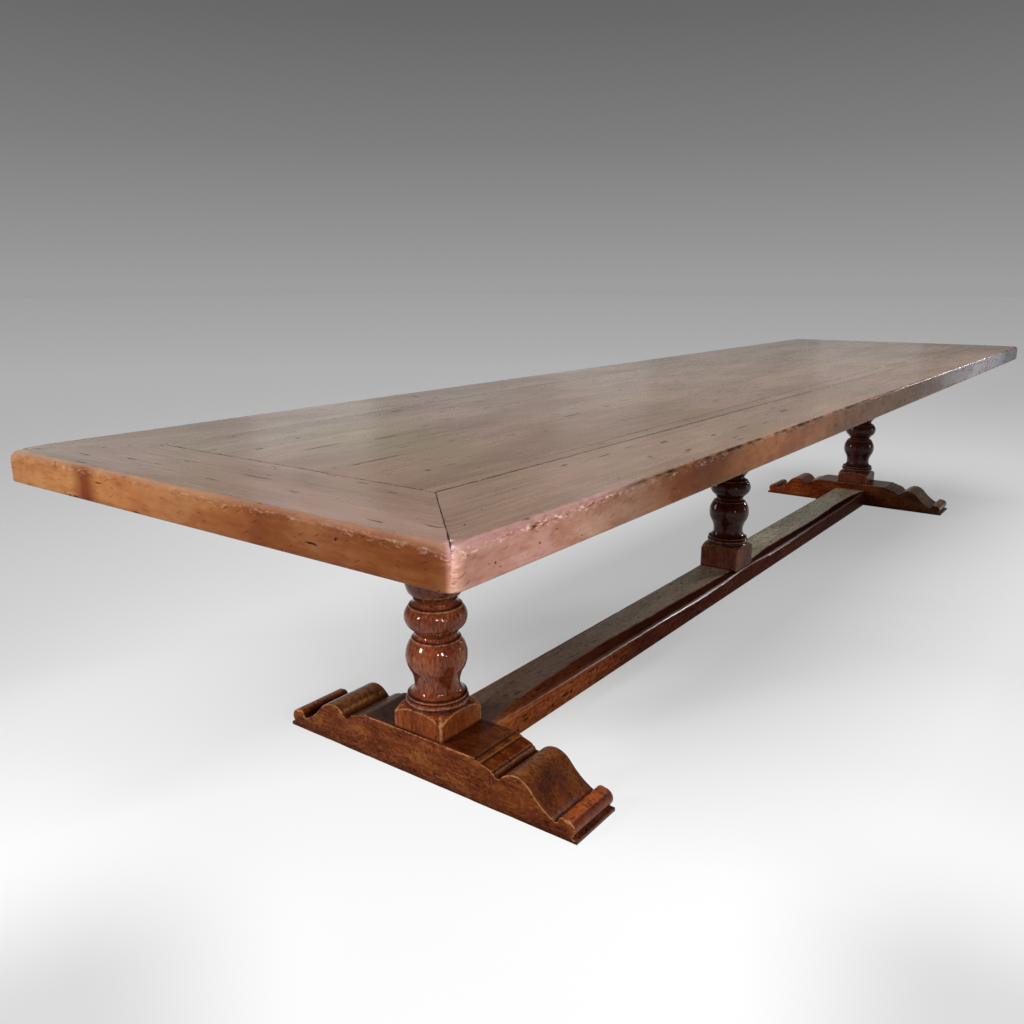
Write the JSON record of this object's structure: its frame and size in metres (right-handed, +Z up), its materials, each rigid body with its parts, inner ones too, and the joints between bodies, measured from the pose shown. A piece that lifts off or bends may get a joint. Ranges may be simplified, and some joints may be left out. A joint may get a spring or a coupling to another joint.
{
  "type": "refectory table",
  "caption": "Long refectory table: a boarded top in a mitred border on turned columns with carved sledge feet, joined by a low stretcher that carries the middle column.",
  "frame": {"origin": "on the floor under the middle of the table", "axes": "+X along the table, +Y across it to the back, +Z up"},
  "size_m": [4.45, 1.144, 0.77],
  "materials": {
    "top_wood": "waxed satin",
    "column_wood": "polished gloss",
    "foot_wood": "waxed, worn edges",
    "stretcher_wood": "waxed, worn top",
    "inner_wood": "unpolished",
    "fastener_steel": "dull"
  },
  "bodies": {
    "root": {"border_front": "top_wood", "border_back": "top_wood", "border_left": "top_wood", "border_right": "top_wood", "plank_slip": "top_wood", "plank_front": "top_wood", "plank_middle": "top_wood", "plank_back": "top_wood", "column_left": "column_wood", "column_middle": "column_wood", "column_right": "column_wood", "foot_left": "foot_wood", "foot_right": "foot_wood", "stretcher": "stretcher_wood", "bearer_left": "inner_wood", "bearer_middle": "inner_wood", "bearer_right": "inner_wood", "tongue_front": "inner_wood", "tongue_back": "inner_wood", "tongue_left": "inner_wood", "tongue_right": "inner_wood", "tongue_slip": "inner_wood", "tongue_plank_front": "inner_wood", "tongue_plank_back": "inner_wood", "mitre_key_front_left": "inner_wood", "mitre_key_front_right": "inner_wood", "mitre_key_back_left": "inner_wood", "mitre_key_back_right": "inner_wood", "stretcher_pegs": "inner_wood", "foot_bolts": "fastener_steel", "bearer_bolts": "fastener_steel", "plank_screws": "fastener_steel", "border_screws": "fastener_steel"}
  },
  "joints": []
}
